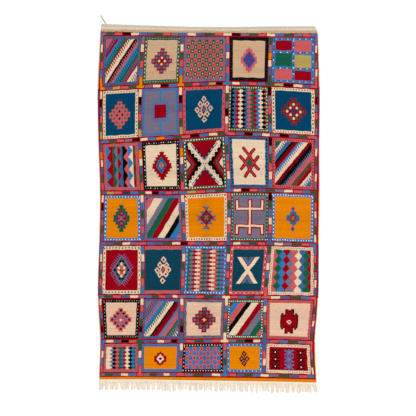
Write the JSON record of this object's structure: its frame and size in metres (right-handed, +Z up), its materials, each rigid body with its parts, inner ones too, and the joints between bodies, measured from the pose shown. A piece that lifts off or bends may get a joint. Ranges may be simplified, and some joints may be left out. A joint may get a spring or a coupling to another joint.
{
  "type": "kilim rug",
  "caption": "Brocaded flat-woven wool kilim lying flat, panels in a block-strip lattice, plaited heading with a loose end, cotton warp fringe at the foot.",
  "frame": {"origin": "on the underside, under the middle of the kilim's outline, the loose end of the plait left out", "axes": "+Y along the length towards the plaited heading, +X across the width to the right as seen from above, +Z up out of the face"},
  "size_m": [1.5078, 2.574, 0.006],
  "materials": {
    "wool_weave": "matte brocaded wool",
    "cotton_plait": "matte plaited cotton",
    "cotton_cord": "matte twisted cotton",
    "cotton_fringe": "matte cotton warp ends"
  },
  "bodies": {
    "root": {"woven_field": "wool_weave", "heading_plait": "cotton_plait", "corner_cord": "cotton_cord", "warp_fringe": "cotton_fringe"}
  },
  "joints": []
}
